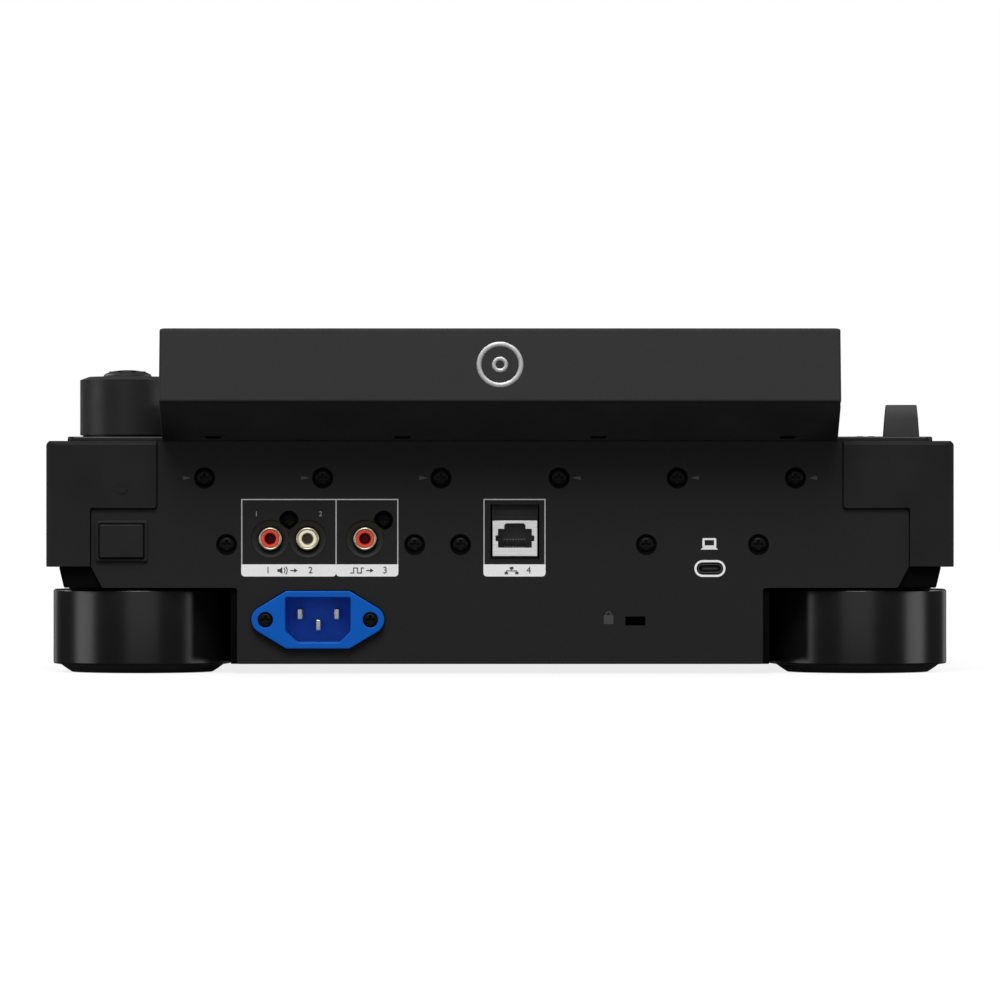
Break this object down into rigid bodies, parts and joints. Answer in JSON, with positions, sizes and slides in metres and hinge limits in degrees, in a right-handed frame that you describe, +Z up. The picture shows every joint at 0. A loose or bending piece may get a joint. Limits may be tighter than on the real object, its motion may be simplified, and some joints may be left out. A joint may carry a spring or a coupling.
{
  "type": "tabletop jog-dial music player",
  "caption": "Desktop music player with a large jog dial, cue pads, tempo slider and a tilted touch display that overhangs a rear socket panel, on round feet.",
  "frame": {"origin": "middle of the footprint, on the plane the feet stand on", "axes": "+X to the user's right, -Y towards the user, +Y out of the socket panel, +Z up"},
  "size_m": [0.329, 0.453, 0.1246],
  "materials": {
    "chassis_steel": "matt black paint",
    "panel_steel": "fine matt black powder coat",
    "case_plastic": "fine grained black moulding",
    "plate_metal": "satin black",
    "foot_gloss": "glossy black",
    "foot_rubber": "matt black rubber",
    "base_plastic": "matt black moulding",
    "housing_metal": "fine matt charcoal coat",
    "bezel_plastic": "black",
    "screen_glass": "dark cover glass",
    "lcd_module": "dark panel",
    "circuit_board": "green solder mask",
    "inlet_plastic": "blue moulding",
    "contact_metal": "nickel plate",
    "jack_plastic": "black moulding",
    "jack_metal": "warm nickel plate",
    "jack_red": "red insert, one in cream",
    "socket_metal": "tinned shield",
    "switch_plastic": "black moulding",
    "screw_black": "black oxide",
    "inner_plastic": "dark moulding",
    "eye_glass": "dark round cover",
    "inner_metal": "plain metal",
    "dial_rubber": "soft black grip",
    "dial_plate": "black anodised, turned",
    "cap_plastic": "black cap with pale line",
    "knob_plastic": "soft black",
    "lever_plastic": "dark grey",
    "key_green": "smoked, green lamp ring",
    "key_amber": "smoked, amber lamp ring",
    "pad_rubber": "soft dark pad",
    "key_plastic": "dark key"
  },
  "bodies": {
    "root": {"bottom_chassis": "chassis_steel", "rear_panel": "panel_steel", "upper_case": "case_plastic", "control_plate": "plate_metal", "feet": "foot_gloss", "foot_pads": "foot_rubber", "display_base": "base_plastic", "display_housing": "housing_metal", "display_bezel": "bezel_plastic", "touch_glass": "screen_glass", "lcd_panel": "lcd_module", "main_board": "circuit_board", "power_board": "circuit_board", "key_board": "circuit_board", "mains_inlet": "inlet_plastic", "inlet_pins": "contact_metal", "jack_block": "jack_plastic", "jack_sleeves": "jack_metal", "jack_inserts": "jack_red", "lan_socket": "socket_metal", "usb_c_socket": "socket_metal", "usb_a_socket": "socket_metal", "power_switch": "switch_plastic", "screws": "screw_black", "jog_base": "inner_plastic", "jog_display": "eye_glass", "fader_body": "inner_metal", "selector_encoder": "inner_metal", "lever_switch": "inner_plastic"},
    "jog_dial": {"jog_rim": "dial_rubber", "jog_plate": "dial_plate", "jog_hub": "inner_metal", "encoder_disc": "inner_metal"},
    "tempo_slider": {"tempo_cap": "cap_plastic", "tempo_carriage": "inner_plastic"},
    "selector_rotor": {"selector_collar": "inner_plastic"},
    "selector": {"selector_shaft": "contact_metal", "selector_knob": "knob_plastic"},
    "direction": {"direction_lever": "lever_plastic"},
    "jog_adjust": {"jog_adjust_knob": "knob_plastic"},
    "power": {"power_button": "switch_plastic"},
    "play": {"play_button": "key_green"},
    "cue": {"cue_button": "key_amber"},
    "pad_1": {"hot_cue_1": "pad_rubber"},
    "pad_2": {"hot_cue_2": "pad_rubber"},
    "pad_3": {"hot_cue_3": "pad_rubber"},
    "pad_4": {"hot_cue_4": "pad_rubber"},
    "pad_5": {"hot_cue_5": "pad_rubber"},
    "pad_6": {"hot_cue_6": "pad_rubber"},
    "pad_7": {"hot_cue_7": "pad_rubber"},
    "pad_8": {"hot_cue_8": "pad_rubber"},
    "loop_in": {"loop_in_key": "key_plastic"},
    "loop_out": {"loop_out_key": "key_plastic"},
    "loop_exit": {"loop_exit_key": "key_plastic"},
    "sync": {"sync_key": "key_plastic"},
    "master": {"master_key": "key_plastic"},
    "slip": {"slip_key": "key_plastic"},
    "quantize": {"quantize_key": "key_plastic"},
    "track": {"track_rocker": "key_plastic"},
    "search": {"search_rocker": "key_plastic"}
  },
  "joints": [
    {"name": "jog_spin", "type": "hinge", "parent": "root", "child": "jog_dial", "pos_m": [0, -0.1, 0.09], "axis": [0, 0, 1], "continuous": true},
    {"name": "tempo_slide", "type": "slide", "parent": "root", "child": "tempo_slider", "axis": [0, 1, 0], "range_m": [-0.05, 0.05]},
    {"name": "selector_turn", "type": "hinge", "parent": "root", "child": "selector_rotor", "pos_m": [0.1415, 0.0875, 0.075], "axis": [0, 0, 1], "continuous": true},
    {"name": "selector_push", "type": "slide", "parent": "selector_rotor", "child": "selector", "axis": [0, 0, -1], "range_m": [0, 0.001], "stiffness_N_per_m": 600, "springref_m": -0.0015},
    {"name": "direction_tilt", "type": "hinge", "parent": "root", "child": "direction", "pos_m": [-0.1497, 0.13, 0.0763], "axis": [1, 0, 0], "range_deg": [-14, 14]},
    {"name": "jog_adjust_turn", "type": "hinge", "parent": "root", "child": "jog_adjust", "pos_m": [0.137, 0.0355, 0.09], "axis": [0, 0, 1], "range_deg": [-150, 150]},
    {"name": "power_push", "type": "slide", "parent": "root", "child": "power", "axis": [0, -1, 0], "range_m": [0, 0.0015], "stiffness_N_per_m": 500, "springref_m": -0.001},
    {"name": "play_push", "type": "slide", "parent": "root", "child": "play", "axis": [0, 0, -1], "range_m": [0, 0.0012], "stiffness_N_per_m": 500, "springref_m": -0.001},
    {"name": "cue_push", "type": "slide", "parent": "root", "child": "cue", "axis": [0, 0, -1], "range_m": [0, 0.0012], "stiffness_N_per_m": 500, "springref_m": -0.001},
    {"name": "pad_1_push", "type": "slide", "parent": "root", "child": "pad_1", "axis": [0, 0, -1], "range_m": [0, 0.0012], "stiffness_N_per_m": 500, "springref_m": -0.001},
    {"name": "pad_2_push", "type": "slide", "parent": "root", "child": "pad_2", "axis": [0, 0, -1], "range_m": [0, 0.0012], "stiffness_N_per_m": 500, "springref_m": -0.001},
    {"name": "pad_3_push", "type": "slide", "parent": "root", "child": "pad_3", "axis": [0, 0, -1], "range_m": [0, 0.0012], "stiffness_N_per_m": 500, "springref_m": -0.001},
    {"name": "pad_4_push", "type": "slide", "parent": "root", "child": "pad_4", "axis": [0, 0, -1], "range_m": [0, 0.0012], "stiffness_N_per_m": 500, "springref_m": -0.001},
    {"name": "pad_5_push", "type": "slide", "parent": "root", "child": "pad_5", "axis": [0, 0, -1], "range_m": [0, 0.0012], "stiffness_N_per_m": 500, "springref_m": -0.001},
    {"name": "pad_6_push", "type": "slide", "parent": "root", "child": "pad_6", "axis": [0, 0, -1], "range_m": [0, 0.0012], "stiffness_N_per_m": 500, "springref_m": -0.001},
    {"name": "pad_7_push", "type": "slide", "parent": "root", "child": "pad_7", "axis": [0, 0, -1], "range_m": [0, 0.0012], "stiffness_N_per_m": 500, "springref_m": -0.001},
    {"name": "pad_8_push", "type": "slide", "parent": "root", "child": "pad_8", "axis": [0, 0, -1], "range_m": [0, 0.0012], "stiffness_N_per_m": 500, "springref_m": -0.001},
    {"name": "loop_in_push", "type": "slide", "parent": "root", "child": "loop_in", "axis": [0, 0, -1], "range_m": [0, 0.0012], "stiffness_N_per_m": 500, "springref_m": -0.001},
    {"name": "loop_out_push", "type": "slide", "parent": "root", "child": "loop_out", "axis": [0, 0, -1], "range_m": [0, 0.0012], "stiffness_N_per_m": 500, "springref_m": -0.001},
    {"name": "loop_exit_push", "type": "slide", "parent": "root", "child": "loop_exit", "axis": [0, 0, -1], "range_m": [0, 0.0012], "stiffness_N_per_m": 500, "springref_m": -0.001},
    {"name": "sync_push", "type": "slide", "parent": "root", "child": "sync", "axis": [0, 0, -1], "range_m": [0, 0.0012], "stiffness_N_per_m": 500, "springref_m": -0.001},
    {"name": "master_push", "type": "slide", "parent": "root", "child": "master", "axis": [0, 0, -1], "range_m": [0, 0.0012], "stiffness_N_per_m": 500, "springref_m": -0.001},
    {"name": "slip_push", "type": "slide", "parent": "root", "child": "slip", "axis": [0, 0, -1], "range_m": [0, 0.0012], "stiffness_N_per_m": 500, "springref_m": -0.001},
    {"name": "quantize_push", "type": "slide", "parent": "root", "child": "quantize", "axis": [0, 0, -1], "range_m": [0, 0.0012], "stiffness_N_per_m": 500, "springref_m": -0.001},
    {"name": "track_rock", "type": "hinge", "parent": "root", "child": "track", "pos_m": [-0.132, -0.0805, 0.08], "axis": [0, 1, 0], "range_deg": [-2.5, 2.5], "stiffness_Nm_per_rad": 0.4},
    {"name": "search_rock", "type": "hinge", "parent": "root", "child": "search", "pos_m": [-0.132, -0.1035, 0.08], "axis": [0, 1, 0], "range_deg": [-2.5, 2.5], "stiffness_Nm_per_rad": 0.4}
  ]
}
